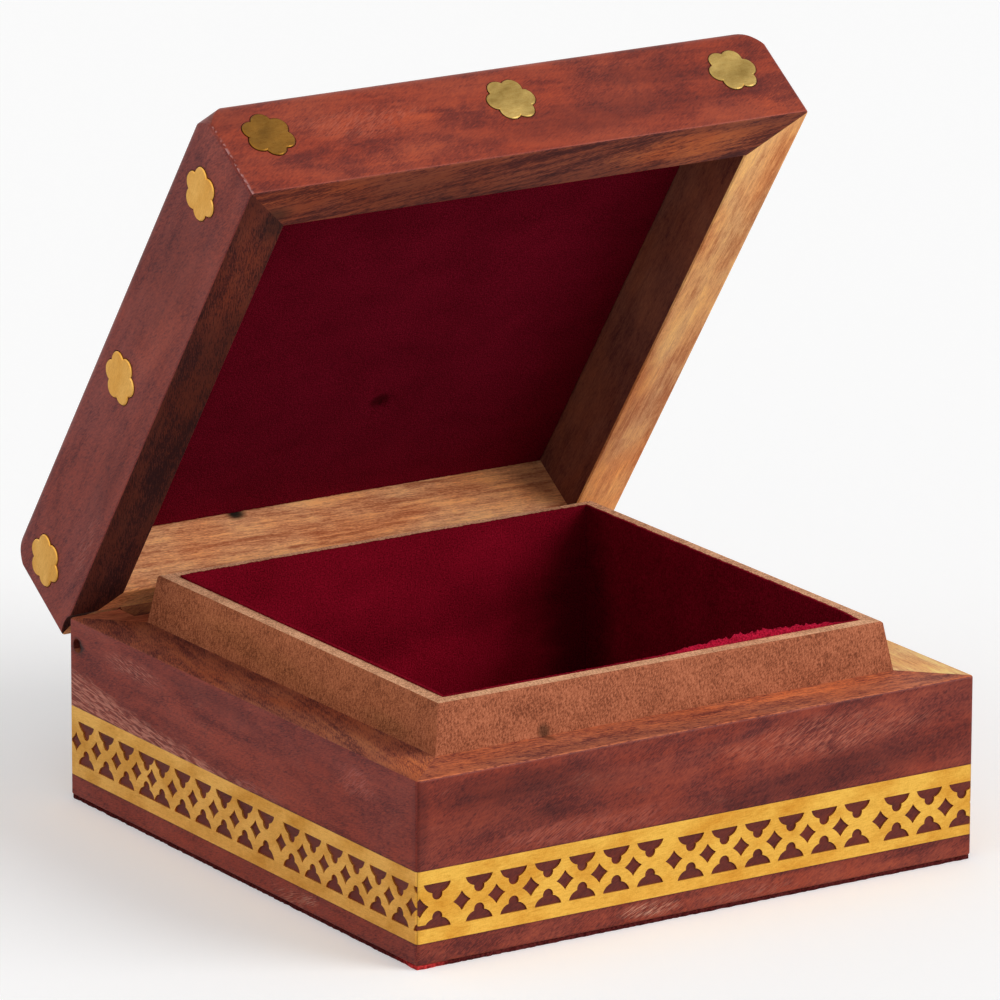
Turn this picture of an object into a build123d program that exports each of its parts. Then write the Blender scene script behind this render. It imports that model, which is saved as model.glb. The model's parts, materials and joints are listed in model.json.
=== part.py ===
from build123d import *

import math
import os
import random

# Square hinged box of rosewood with pierced brass, brass rosettes and a stone inlay.
# Sizes are in millimetres. The origin is the centre of the felt's underside, +Z is up and the
# front looks along -Y. The lid is built shut and is then swung open about its pins.

# Case
side_length = 127.0
felt_thickness = 0.8
felt_setback = 0.3
rim_height = 37.0
wall_thickness = 11.2
corner_radius = 0.8
rim_ease = 0.5
board_thickness = 3.0
board_rebate_width = 5.0
board_clearance = 0.2

# Liner boards and their velvet
liner_thickness = 4.6
liner_rise = 9.65
liner_bevel = 1.5
liner_ease = 0.3
velvet_thickness = 0.8
velvet_setback = 0.4
velvet_clearance = 0.1

# Pierced brass strip, let into the walls
band_bottom = 5.1
band_height = 14.1
band_thickness = 0.3
motif_pitch = 7.68
joint_web = 1.6
lattice_height = 8.7
diamond_width = 3.9
diamond_height = 3.9
diamond_hollow = 0.12
trefoil_width = 6.0
trefoil_height = 3.25
trefoil_shoulder_depth = 1.85
trefoil_wing_bulge = 0.27
trefoil_lobe_width = 2.2
notch_reach = 2.6
notch_height = 0.9

# Each strip from its left end seen from outside: the first diamond's place, and of each run the
# number of diamonds, the extra web after it and how far below the middle it was punched
plain_strip_start = 0.66
plain_strip_runs = (
    (1, joint_web, 0.0), (6, joint_web, 0.0), (6, joint_web, 0.4), (4, joint_web, 0.65),
)
left_strip_start = 2.36
left_strip_runs = ((4, -1.85, 0.0), (6, joint_web, 0.0), (7, joint_web, 0.1))

# Lid
lid_height = 23.4
rail_thickness = 10.9
top_round = 2.7
top_corner_round = 7.0
rail_inner_ease = 0.3
rim_gap = 0.1
velvet_ceiling = 14.4
board_ledge_width = 3.0
top_board_clearance = 0.1
lid_velvet_thickness = 0.9
lid_velvet_clearance = 0.3

# Hinge: two nails in the case carry a rail that is glued under the lid's back rail
opening_angle = 55.3
pin_inset = 3.0
pin_drop = 5.1
pin_diameter = 1.8
pin_fit = 0.02
pin_running_fit = 0.05
pin_sink = 1.2
pin_mouth_diameter = 2.9
pin_grip = 14.0
pin_end_room = 1.0
hinge_round = 3.0
hinge_rear_drop = 2.0
hinge_face_clearance = 0.25
hinge_floor_clearance = 0.3
hinge_end_clearance = 0.3
hinge_stop_gap = 0.03
edge_relief = 0.2

# Brass rosettes
petal_count = 6
petal_radius = 2.2
petal_circle = 3.1
rosette_core = 3.6
rosette_thickness = 0.75
rosette_proud = 0.3
rosette_edge = 0.2
rosette_clearance = 0.18

# Rosettes of each side: place from its middle, drop below the lid's top, and turn
front_rosettes = ((-52.9, 9.6, 30), (1.6, 9.6, 0), (52.6, 10.3, 4))
left_rosettes = ((-55.4, 10.4, 35), (-2.7, 9.7, 48), (49.8, 10.2, 30))
plain_rosettes = ((-53.0, 9.6, 0), (0.0, 9.8, 30), (53.0, 9.6, 0))

# Stone inlay in the top
inlay_side = 82.0
inlay_depth = 2.0
inlay_frame_width = 1.2
chip_height = 1.4
chip_rows = 9
chip_gap = 0.8
chip_jitter = 0.24
chip_corner_least = 0.12
chip_corner_most = 0.34
stone_kinds = ("turquoise", "lapis", "carnelian", "malachite", "tiger_eye", "mother_of_pearl")
inlay_seed = 5

# Places that follow from the sizes
half = side_length / 2
board_top = felt_thickness + board_thickness
liner_top = rim_height + liner_rise
liner_inner = half - wall_thickness - liner_thickness
lid_bottom = rim_height + rim_gap
lid_top = rim_height + lid_height
ledge_height = rim_height + velvet_ceiling + lid_velvet_thickness
recess_half = half - rail_thickness
pin_y = half - pin_inset
pin_z = rim_height - pin_drop
hinge_half_length = half - wall_thickness - hinge_end_clearance
swing_radius = math.hypot(pin_inset, hinge_rear_drop)
rebate_face = pin_y - hinge_round - hinge_face_clearance
rebate_floor = pin_z - swing_radius - hinge_floor_clearance
beyond = side_length

os.makedirs("parts", exist_ok=True)
pieces = {}


# Building blocks

def square_slab(slab_half, bottom, top):
    """A square plate centred on the vertical axis, between two heights."""
    return Pos(0, 0, bottom) * extrude(Rectangle(2 * slab_half, 2 * slab_half), top - bottom)


def block(x_range, y_range, z_range):
    """A plain block between two places along each axis."""
    low = [span[0] for span in (x_range, y_range, z_range)]
    size = [span[1] - span[0] for span in (x_range, y_range, z_range)]
    centre = [start + length / 2 for start, length in zip(low, size)]
    return Pos(*centre) * Box(*size)


def rod(radius, x_start, x_end, y, z):
    """A round bar along X."""
    return Pos((x_start + x_end) / 2, y, z) * Rot(0, 90, 0) * Cylinder(radius, abs(x_end - x_start))


def side_bar(profile):
    """The front side's bar, from (y, z) points of its section, with both ends mitred."""
    section = Plane.YZ * make_face(Polyline(*profile, close=True))
    bar = extrude(section, amount=half, both=True)
    plan = make_face(Polyline((-half, -half), (half, -half), (0, 0), close=True))
    return bar & (Pos(0, 0, -beyond) * extrude(plan, 2 * beyond))


def turned(piece, quarter_turns):
    """The front side's piece brought to the right (1), the back (2) or the left (3)."""
    return Rot(0, 0, 90 * quarter_turns) * piece


# The sides in the order in which quarter turns reach them
SIDES = ("front", "right", "back", "left")


# Case walls

def case_envelope():
    """The outside of the case, with its edges eased."""
    plan = RectangleRounded(side_length, side_length, corner_radius)
    case = Pos(0, 0, felt_thickness) * extrude(plan, rim_height - felt_thickness)
    outlines = case.edges().group_by(Axis.Z)
    return fillet(outlines[0] + outlines[-1], rim_ease)


def case_wall():
    """The front wall, with the brass strip's recess outside and the board's rebate inside."""
    outer = -half
    inner = outer + wall_thickness
    recess = outer + band_thickness
    rebate = inner - board_rebate_width
    band_top = band_bottom + band_height
    return side_bar((
        (outer, felt_thickness), (outer, band_bottom), (recess, band_bottom), (recess, band_top),
        (outer, band_top), (outer, rim_height), (inner, rim_height), (inner, board_top),
        (rebate, board_top), (rebate, felt_thickness),
    ))


def pin_hole(end):
    """The nail's hole in the case, with a wider mouth, at the left (-1) or the right (1)."""
    shank = rod(pin_diameter / 2 + pin_fit, end * (half - wall_thickness), end * half, pin_y, pin_z)
    mouth = rod(pin_mouth_diameter / 2, end * (half - pin_sink), end * half, pin_y, pin_z)
    return shank + mouth


def hinge_rebate():
    """The space in the outer half of the back wall that the hinge rail turns in."""
    reach = half - wall_thickness
    return block((-reach, reach), (rebate_face, beyond), (rebate_floor, beyond))


def make_case():
    envelope = case_envelope()
    for turns, name in enumerate(SIDES):
        wall = turned(case_wall(), turns) & envelope
        if name == "back":
            wall -= hinge_rebate()
        if name in ("back", "left"):
            wall -= pin_hole(-1)
        if name in ("back", "right"):
            wall -= pin_hole(1)
        pieces[f"base_{name}_wall"] = wall
    board_half = half - wall_thickness + board_rebate_width - board_clearance
    pieces["bottom_board"] = square_slab(board_half, felt_thickness, board_top)
    pieces["bottom_felt"] = square_slab(half - felt_setback, 0, felt_thickness)


# Liner boards and velvet

def make_liner():
    outer = -half + wall_thickness
    inner = outer + liner_thickness
    board = side_bar((
        (outer, board_top), (outer, rim_height), (outer + liner_bevel, liner_top - liner_ease),
        (outer + liner_bevel + liner_ease, liner_top), (inner, liner_top), (inner, board_top),
    ))
    pile = inner + velvet_thickness
    floor_top = board_top + velvet_thickness
    lining = side_bar((
        (inner, floor_top), (inner, liner_top - velvet_setback),
        (pile, liner_top - velvet_setback), (pile, floor_top),
    ))
    for turns, name in enumerate(SIDES):
        pieces[f"liner_{name}"] = turned(board, turns)
        pieces[f"velvet_{name}"] = turned(lining, turns)
    pieces["velvet_floor"] = square_slab(liner_inner - velvet_clearance, board_top, floor_top)


# Pierced brass strip

def diamond():
    """A four-pointed hole with slightly hollow sides."""
    across = diamond_width / 2
    up = diamond_height / 2
    drawn_in = (1 - diamond_hollow) / 2
    corners = ((across, 0), (0, up), (-across, 0), (0, -up), (across, 0))
    sides = []
    for start, end in zip(corners, corners[1:]):
        middle = ((start[0] + end[0]) * drawn_in, (start[1] + end[1]) * drawn_in)
        sides.append(ThreePointArc(start, middle, end))
    return make_face(sides)


def trefoil():
    """A hole with a flat top, two wings and a round lobe that hangs below it."""
    wing = trefoil_width / 2
    neck = trefoil_lobe_width / 2
    shoulder = -trefoil_shoulder_depth
    bulge = ((wing + neck) / 2 + trefoil_wing_bulge, shoulder / 2 - trefoil_wing_bulge)
    outline = [
        Line((-wing, 0), (wing, 0)),
        ThreePointArc((wing, 0), bulge, (neck, shoulder)),
        ThreePointArc((neck, shoulder), (0, -trefoil_height), (-neck, shoulder)),
        ThreePointArc((-neck, shoulder), (-bulge[0], bulge[1]), (-wing, 0)),
    ]
    return make_face(outline)


def motif_places(start, runs):
    """Place and drop of each diamond; a trefoil pair follows each by half a pitch."""
    places = []
    place = start
    for count, web, drop in runs:
        for _ in range(count):
            places.append((place, drop))
            place += motif_pitch
        place += web
    return places


def band_strip(start, runs):
    """The front strip, pierced and with both ends mitred."""
    outer = -half
    band_top = band_bottom + band_height
    strip = side_bar((
        (outer, band_bottom), (outer, band_top),
        (outer + band_thickness, band_top), (outer + band_thickness, band_bottom),
    ))
    middle = band_bottom + band_height / 2
    upper = Pos(motif_pitch / 2, lattice_height / 2) * trefoil()
    holes = []
    for place, drop in motif_places(start, runs):
        motif = Pos(place - half, middle - drop)
        holes += [motif * diamond(), motif * upper, motif * mirror(upper, about=Plane.XZ)]
    face = Plane.XZ.offset(half + band_thickness)
    punches = [extrude(face * hole, -wall_thickness) for hole in holes]
    return strip - punches


def end_notch():
    """The notch that was cut where the front strip's first lower hole meets the corner."""
    low = band_bottom + (band_height - lattice_height) / 2
    return block((-beyond, -half + notch_reach), (-beyond, beyond), (low, low + notch_height))


def make_band():
    envelope = case_envelope()
    plain = band_strip(plain_strip_start, plain_strip_runs)
    worn = band_strip(left_strip_start, left_strip_runs)
    strips = {"front": plain - end_notch(), "left": worn}
    for turns, name in enumerate(SIDES):
        pieces[f"brass_band_{name}"] = turned(strips.get(name, plain), turns) & envelope


# Lid rails, hinge rail and pins

def corner_waste(turn):
    """What is sanded off a top corner of the lid, turned from the middle of the right side."""
    size = 2 * top_corner_round
    square = Rectangle(size, size, align=(Align.MIN, Align.MIN))
    profile = Pos(math.hypot(half, half) - top_corner_round, lid_top - top_corner_round)
    profile *= square - Circle(top_corner_round)
    return Rot(0, 0, turn) * extrude(Plane.XZ * profile, amount=size, both=True)


def lid_envelope():
    """The outside of the lid, with its top edges and corners rounded and its others eased."""
    plan = RectangleRounded(side_length, side_length, corner_radius)
    whole = Pos(0, 0, lid_bottom) * extrude(plan, lid_top - lid_bottom)
    whole = fillet(whole.edges().group_by(Axis.Z)[0], rim_ease)
    outline = make_face(Polyline(
        (-half, lid_bottom), (half, lid_bottom), (half, lid_top), (-half, lid_top), close=True
    ))
    outline = fillet(outline.vertices().group_by(Axis.Y)[-1], top_round)
    across = extrude(Plane.XZ * outline, amount=half, both=True)
    whole = whole & across & (Rot(0, 0, 90) * across)
    return whole - [corner_waste(turn) for turn in (45, 135, 225, 315)]


def lid_rail():
    """The front rail, with the top board's ledge cut into its inner top edge."""
    outer = -half
    inner = outer + rail_thickness
    ledge = inner - board_ledge_width
    return side_bar((
        (outer, lid_bottom), (outer, lid_top), (ledge, lid_top), (ledge, ledge_height),
        (inner, ledge_height), (inner, lid_bottom + rail_inner_ease),
        (inner - rail_inner_ease, lid_bottom),
    ))


def rim_relief():
    """The hollow under the lid's rear corners that lets the case's sharp back edge pass."""
    radius = math.hypot(pin_inset, pin_drop) + edge_relief
    ends = [rod(radius, end * hinge_half_length, end * beyond, pin_y, pin_z) for end in (-1, 1)]
    return ends[0] + ends[1]


def hinge_section():
    """The hinge rail's section: a round front and underside, and a heel that stops the lid."""
    stop_reach = hinge_round + hinge_face_clearance - hinge_stop_gap
    heel_length = math.sqrt(swing_radius ** 2 - hinge_round ** 2)
    heel_angle = 180 + opening_angle + math.degrees(math.acos(stop_reach / swing_radius))
    tangent_angle = heel_angle - math.degrees(math.atan2(heel_length, hinge_round))
    rear_angle = 360 - math.degrees(math.atan2(hinge_rear_drop, pin_inset))

    def around_pin(radius, angle):
        return (radius * math.cos(math.radians(angle)), radius * math.sin(math.radians(angle)))

    top = lid_bottom - pin_z
    front = (-hinge_round, 0)
    tangent = around_pin(hinge_round, tangent_angle)
    under = around_pin(hinge_round, (180 + tangent_angle) / 2)
    heel = around_pin(swing_radius, heel_angle)
    below = around_pin(swing_radius, (heel_angle + rear_angle) / 2)
    rear = around_pin(swing_radius, rear_angle)
    return make_face([
        Line((-hinge_round, top), front),
        ThreePointArc(front, under, tangent),
        Line(tangent, heel),
        ThreePointArc(heel, below, rear),
        Line(rear, (pin_inset, top)),
        Line((pin_inset, top), (-hinge_round, top)),
    ])


def make_hinge():
    section = Plane.YZ * Pos(pin_y, pin_z) * hinge_section()
    rail = extrude(section, amount=hinge_half_length, both=True)
    bore_end = hinge_half_length - pin_grip - pin_end_room
    for end, name in ((-1, "left"), (1, "right")):
        bore = rod(pin_diameter / 2 + pin_running_fit, end * bore_end, end * half, pin_y, pin_z)
        rail -= bore
        pin_end = hinge_half_length - pin_grip
        pieces[f"hinge_pin_{name}"] = rod(
            pin_diameter / 2, end * pin_end, end * (half - pin_sink), pin_y, pin_z
        )
    return rail


# Brass rosettes

def rosette(margin, thickness):
    """A rosette lying flat, or with a margin the pocket that it lies in."""
    outline = Circle(rosette_core)
    for petal in range(petal_count):
        turn = Rot(0, 0, 360 / petal_count * petal)
        outline += turn * Pos(petal_circle, 0) * Circle(petal_radius + margin)
    return extrude(outline, thickness)


def rosette_row(places, piece):
    """Copies of a rosette or of its pocket, sunk into the front side."""
    sunk = rosette_thickness - rosette_proud
    face = Plane.XZ.offset(half - sunk)
    return [
        face * Pos(along, lid_top - drop) * Rot(0, 0, turn) * piece for along, drop, turn in places
    ]


def bevelled_rosette():
    """The rosette with its upper edge filed to a narrow bevel."""
    plain = rosette(0, rosette_thickness)
    return chamfer(plain.faces().sort_by(Axis.Z)[-1].edges(), rosette_edge)


def rosette_places(name):
    """The rosettes of the named side."""
    return {"front": front_rosettes, "left": left_rosettes}.get(name, plain_rosettes)


# Stone inlay

def chip_corners():
    """Corners of the chips' cells: an even grid whose inner points are moved at random."""
    field = inlay_side - 2 * inlay_frame_width
    pitch = field / chip_rows
    draw = random.Random(inlay_seed)
    corners = {}
    for row in range(chip_rows + 1):
        for column in range(chip_rows + 1):
            x = -field / 2 + column * pitch
            y = -field / 2 + row * pitch
            if 0 < column < chip_rows:
                x += draw.uniform(-chip_jitter, chip_jitter) * pitch
            if 0 < row < chip_rows:
                y += draw.uniform(-chip_jitter, chip_jitter) * pitch
            corners[row, column] = Vector(x, y)
    return corners, pitch, draw


def chip_outlines():
    """One outline a cell, drawn in for the resin between the chips, with its corners cut."""
    corners, pitch, draw = chip_corners()
    shrink = 1 - chip_gap / pitch
    outlines = []
    for row in range(chip_rows):
        for column in range(chip_rows):
            cell = [corners[row + up, column + along] for up, along in ((0, 0), (0, 1), (1, 1), (1, 0))]
            centre = sum(cell, Vector(0, 0)) / len(cell)
            cell = [centre + (point - centre) * shrink for point in cell]
            points = []
            for index, point in enumerate(cell):
                before = cell[index - 1]
                after = cell[(index + 1) % len(cell)]
                cut = draw.uniform(chip_corner_least, chip_corner_most)
                points.append(point + (before - point) * cut)
                points.append(point + (after - point) * cut)
            outlines.append([(point.X, point.Y) for point in points])
    return outlines, draw


def make_inlay():
    inlay_half = inlay_side / 2
    field_half = inlay_half - inlay_frame_width
    floor = lid_top - inlay_depth
    frame = square_slab(inlay_half, floor, lid_top) - square_slab(field_half, floor, lid_top)
    bed = square_slab(field_half, floor, lid_top)
    outlines, draw = chip_outlines()
    kinds = [stone_kinds[index % len(stone_kinds)] for index in range(len(outlines))]
    draw.shuffle(kinds)
    chips = {kind: [] for kind in stone_kinds}
    for kind, outline in zip(kinds, outlines):
        shape = make_face(Polyline(*outline, close=True))
        chips[kind].append(Pos(0, 0, lid_top - chip_height) * extrude(shape, chip_height))
    bed -= [chip for group in chips.values() for chip in group]
    inlay = {"inlay_brass_frame": frame, "inlay_resin_bed": bed}
    for kind, group in chips.items():
        inlay[f"{kind}_chips"] = group
    return inlay


# Lid

def make_lid():
    envelope = lid_envelope()
    relief = rim_relief()
    flower = bevelled_rosette()
    pocket = rosette(rosette_clearance, rosette_thickness)
    lid = {"hinge_rail": make_hinge()}
    for turns, name in enumerate(SIDES):
        rail = turned(lid_rail(), turns) & envelope
        rail -= relief
        places = rosette_places(name)
        lid[f"lid_{name}_rail"] = rail - [turned(cut, turns) for cut in rosette_row(places, pocket)]
        lid[f"flowers_{name}"] = [turned(copy, turns) for copy in rosette_row(places, flower)]
    board_half = recess_half + board_ledge_width - top_board_clearance
    board = square_slab(board_half, ledge_height, lid_top)
    board -= square_slab(inlay_side / 2, lid_top - inlay_depth, lid_top)
    lid["lid_top_board"] = board
    velvet_bottom = ledge_height - lid_velvet_thickness
    lid["lid_velvet"] = square_slab(recess_half - lid_velvet_clearance, velvet_bottom, ledge_height)
    lid.update(make_inlay())
    swing = Pos(0, pin_y, pin_z) * Rot(-opening_angle, 0, 0) * Pos(0, -pin_y, -pin_z)
    for name, piece in lid.items():
        if isinstance(piece, list):
            pieces[name] = Compound(children=[swing * solid for solid in piece])
        else:
            pieces[name] = swing * piece


make_case()
make_liner()
make_band()
make_lid()

for node, piece in pieces.items():
    export_step(piece, f"parts/{node}.step")
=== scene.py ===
"""Looks of a square rosewood box with pierced brass, brass rosettes, velvet and a stone inlay.

The file is laid out as an add-on and is run as a script. Lengths are in metres, except in the
patterns of materials and in names that end in _mm, which are in millimetres. The lid is stored
open, so its patterns are first turned back to the shut lid, and each side's wood and brass are
drawn as if that side were the front one.
"""

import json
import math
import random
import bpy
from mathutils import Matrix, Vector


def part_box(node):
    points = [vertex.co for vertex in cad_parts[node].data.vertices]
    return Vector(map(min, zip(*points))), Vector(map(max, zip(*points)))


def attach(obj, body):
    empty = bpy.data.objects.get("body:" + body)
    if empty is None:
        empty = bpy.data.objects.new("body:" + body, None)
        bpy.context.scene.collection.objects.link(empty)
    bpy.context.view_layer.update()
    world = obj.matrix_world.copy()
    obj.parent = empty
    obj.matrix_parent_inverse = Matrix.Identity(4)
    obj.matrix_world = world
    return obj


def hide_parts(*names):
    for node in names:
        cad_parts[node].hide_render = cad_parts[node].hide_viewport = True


bl_info = {
    "name": "Gemstone inlaid box",
    "version": (1, 0, 0),
    "blender": (4, 5, 0),
    "location": "3D View > Sidebar > Box",
    "description": "Gives every piece of a hinged, stone inlaid rosewood box its finish",
    "category": "Object",
}

import bpy
from mathutils import Matrix, Vector

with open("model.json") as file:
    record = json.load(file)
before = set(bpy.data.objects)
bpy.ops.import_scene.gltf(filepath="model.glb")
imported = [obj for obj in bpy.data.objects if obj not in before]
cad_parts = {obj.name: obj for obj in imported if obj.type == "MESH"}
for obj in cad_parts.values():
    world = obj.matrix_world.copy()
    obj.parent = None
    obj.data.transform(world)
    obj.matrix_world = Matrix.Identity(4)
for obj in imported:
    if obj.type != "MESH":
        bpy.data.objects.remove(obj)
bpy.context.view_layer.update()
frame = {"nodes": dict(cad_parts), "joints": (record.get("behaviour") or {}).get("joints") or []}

MM = 0.001
HINGE = frame["joints"][0]
PIN = Vector(HINGE["pos_m"])
LID_OPEN = math.radians(HINGE["range_deg"][1])
SIDE_TURN = {"front": 0, "right": -90, "back": 180, "left": 90}
CASE_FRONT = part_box("base_front_wall")[0].y
CASE_HALF_MM = -CASE_FRONT / MM

# How far behind its front a wall is oiled, and how far a normal reaches along an axis where its
# face counts as looking that way
OILED_DEPTH = 2 * MM
LOOKS_THERE = 0.6

# How far each lining stands above its board at its left end, middle and right end, seen from
# outside, then the place of the lid lining's dent and the length of the cloths' waves
LINING_RISE_MM = {
    "front": (0.1, 0.1, 0.1), "left": (0.4, 0.3, 0.1), "back": (0.4, 0.45, 0.4),
    "right": (0.1, 0.45, 0.4),
}
DENT_MM = (3.8, 24.4)
WAVE_LENGTH = 9 * MM

FLOOR_RADIUS = 6.0
FLOOR_DROP = 0.02 * MM
KEY_FROM = (0.59, -0.69, 0.41)
FILL_FROM = (-0.78, -0.25, 0.57)
CAMERA_PLACE = (-0.94383, -1.4449, 0.55253)
CAMERA_RIGHT = Vector((0.83882, -0.54439, 0.00342))
CAMERA_DOWN = Vector((-0.14483, -0.22921, -0.96254))
CAMERA_AHEAD = Vector((0.52478, 0.80691, -0.27111))

# Factors for the red, green and blue of a wood's tone, a half size past every plank's end, and
# how far apart the noises of two seeds lie
DARKER = (0.56, 0.48, 0.62)
RUDDY = (0.72, 0.56, 0.50)
LIGHTER = (1.42, 1.55, 1.30)
DEEP = (0.50, 0.42, 0.52)
BRIGHT = (1.50, 1.75, 1.55)
FAR = 10000.0
SEED_STEP_MM = (137.1, 61.7, 29.3)


# Colours, places and shader nodes

def linear(code):
    """An sRGB hex colour as linear red, green and blue."""
    parts = [int(code[place:place + 2], 16) / 255 for place in (1, 3, 5)]
    return tuple(p / 12.92 if p <= 0.04045 else ((p + 0.055) / 1.055) ** 2.4 for p in parts)


def shaded(colour, *factors):
    """A colour with each channel multiplied, for a shader socket or a ramp's stop."""
    factors = factors * 3 if len(factors) == 1 else factors
    return (*(min(1, channel * factor) for channel, factor in zip(colour, factors)), 1)


def fill(tree, node, values):
    """Fills in a node. A value is a setting, a number or colour, or what is linked there."""
    for key, value in values.items():
        if isinstance(value, bpy.types.Node):
            value = value.outputs[0]
        if key == "stops":
            ramp = node.color_ramp.elements
            ramp.remove(ramp[1])
            for index, (place, colour) in enumerate(value):
                stop = ramp.new(place) if index else ramp[0]
                stop.position = place
                stop.color = colour if len(colour) == 4 else (*linear(colour), 1)
        elif isinstance(value, bpy.types.NodeSocket):
            tree.links.new(value, node.inputs[key])
        elif isinstance(key, str) and hasattr(node, key):
            setattr(node, key, value)
        else:
            node.inputs[key].default_value = value


def add(tree, kind, values=None):
    """Adds a shader node and fills it in."""
    made = tree.nodes.new("ShaderNode" + kind)
    fill(tree, made, values or {})
    return made


def to_front(side="front", on_lid=False):
    """Turns a place on a side, and on the open lid, to the front of the shut box."""
    shut = Matrix.Rotation(LID_OPEN if on_lid else 0, 4, "X")
    shut = Matrix.Translation(PIN) @ shut @ Matrix.Translation(-PIN)
    return Matrix.Rotation(math.radians(SIDE_TURN[side]), 4, "Z") @ shut


def new_material(name, side="front", on_lid=False):
    """An empty material, its surface shader and the place along its plank in millimetres."""
    made = bpy.data.materials.new(name)
    made.use_nodes = True
    tree = made.node_tree
    tree.nodes.clear()
    surface = add(tree, "BsdfPrincipled")
    add(tree, "OutputMaterial", {"Surface": surface})
    turn = to_front(side, on_lid)
    at = add(tree, "Mapping", {
        "Vector": add(tree, "TexCoord").outputs["Object"], "Rotation": turn.to_euler(),
        "Location": turn.translation / MM, "Scale": (1 / MM,) * 3,
    })
    return made, tree, surface, at


def streaks(tree, at, length_mm, width_mm, lean=(0, 0), seed=0, detail=3.0, twist=0.0):
    """Noise drawn out along a plank, which leans on its face and on its edge by degrees."""
    drawn = add(tree, "Mapping", {
        "vector_type": "TEXTURE", "Vector": at,
        "Rotation": (0, math.radians(-lean[0]), math.radians(-lean[1])),
        "Location": [seed * step for step in SEED_STEP_MM],
        "Scale": (length_mm, width_mm, width_mm),
    })
    return add(tree, "TexNoise", {
        "Vector": drawn, "Scale": 1.0, "Detail": detail, "Distortion": twist,
    })


def patch(tree, at, centre, size, lean=0.0, strength=1.0, stray=0.5, grain=3.0):
    """How strongly a soft oval covers a place, 0 to strength, with an uneven edge that its
    centre picks. A size of FAR leaves the oval open along that axis."""
    oval = add(tree, "Mapping", {
        "vector_type": "TEXTURE", "Vector": at, "Location": centre,
        "Rotation": (0, math.radians(-lean), 0), "Scale": size,
    })
    inside = add(tree, "TexGradient", {"gradient_type": "SPHERICAL", "Vector": oval})
    edge = streaks(tree, at, grain * 3, grain, (lean, lean), round(sum(centre)) % 17, 3)
    return add(tree, "MapRange", {
        "interpolation_type": "SMOOTHSTEP", "From Min": 0.05, "From Max": 0.75,
        "To Max": strength, "Value": weigh(tree, (edge, stray), start=inside),
    })


def weigh(tree, *terms, start=0.0):
    """Sum of node values less one half, each times its weight."""
    total = start
    for value, weight in terms:
        less = add(tree, "Math", {"operation": "SUBTRACT", 0: value, 1: 0.5})
        total = add(tree, "Math", {"operation": "MULTIPLY_ADD", 0: less, 1: weight, 2: total})
    return total


def marked(tree, at, colour, marks, noise):
    """A colour under its marks. Each mark yields what it covers, its colour and how it mixes."""
    for mark in marks:
        for share, tone, blend in mark(tree, at, noise):
            colour = add(tree, "MixRGB", {
                "blend_type": blend, "Fac": share, "Color1": colour, "Color2": (*tone, 1),
            })
    return colour


def ovals(*places):
    """A mark that deepens or lightens soft ovals. Each has its centre and half size in
    millimetres, its lean in degrees, its strength, and factors for red, green and blue."""
    def mark(tree, at, noise):
        for centre, size, lean, strength, factors in places:
            yield patch(tree, at, centre, size, lean, strength), factors, "MULTIPLY"
    return mark


def scuffs(*places):
    """A mark that scratches pale strokes into upright ovals, given as in ovals, except that the
    lean is the strokes' own and a colour takes the place of the factors."""
    def mark(tree, at, noise):
        for centre, size, lean, strength, code in places:
            stroke = streaks(tree, at, 2.6, 0.24, (lean, 0), round(sum(centre)) % 13, 3)
            bare = add(tree, "MapRange", {
                "Value": stroke, "From Min": 0.47, "From Max": 0.62, "To Max": strength,
            })
            yield add(tree, "Math", {
                "operation": "MULTIPLY", 0: patch(tree, at, centre, size, stray=0.9), 1: bare,
            }), linear(code), "MIX"
    return mark


# Materials

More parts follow.
